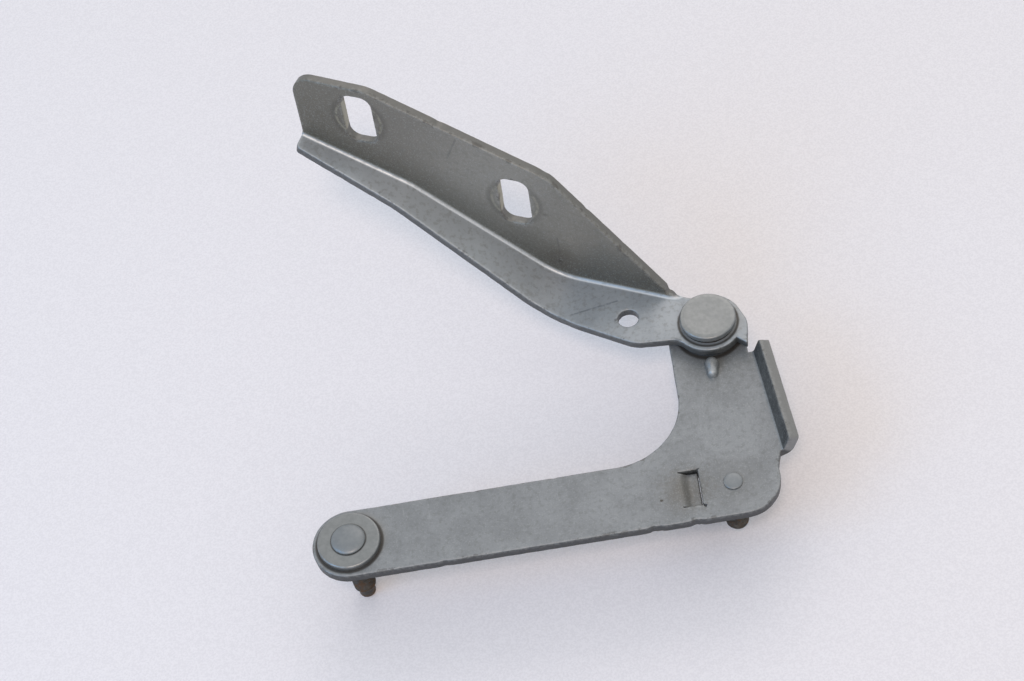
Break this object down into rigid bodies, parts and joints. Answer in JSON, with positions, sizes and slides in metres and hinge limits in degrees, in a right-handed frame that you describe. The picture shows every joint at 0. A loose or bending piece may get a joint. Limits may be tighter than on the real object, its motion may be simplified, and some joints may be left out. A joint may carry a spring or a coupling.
{
  "type": "bonnet hinge",
  "caption": "Car bonnet hinge: a slotted, pressed angle arm that swings on a riveted pivot over a lipped, J-shaped body plate held by collared studs.",
  "frame": {"origin": "on the rear stud's axis, in the plane where the collars of both studs seat on the car body", "axes": "X along the line of the two studs, with the front stud on the -X side; Y from that line towards the pivot; Z along the studs and the pivot, from the car body up through the plate"},
  "size_m": [0.1694, 0.158, 0.1136],
  "materials": {
    "coated_sheet": "thin grey coating on pressed steel, satin, scuffed",
    "dark_steel": "dark phosphated steel with a little rust",
    "plain_steel": "grey steel, dull",
    "bearing": "dark greased bearing metal"
  },
  "bodies": {
    "body_side": {"body_plate": "coated_sheet", "front_stud": "dark_steel", "front_stud_washer": "plain_steel", "rear_stud": "dark_steel", "pivot_rivet": "plain_steel", "thrust_washer": "bearing", "tail_washer": "plain_steel"},
    "bonnet_side": {"bonnet_arm": "coated_sheet", "pivot_bush": "bearing"}
  },
  "joints": [
    {"name": "bonnet_swing", "type": "hinge", "parent": "body_side", "child": "bonnet_side", "pos_m": [0.0015, 0.0634, 0.00935], "axis": [0, 0, 1], "range_deg": [-41.5, 26]}
  ]
}
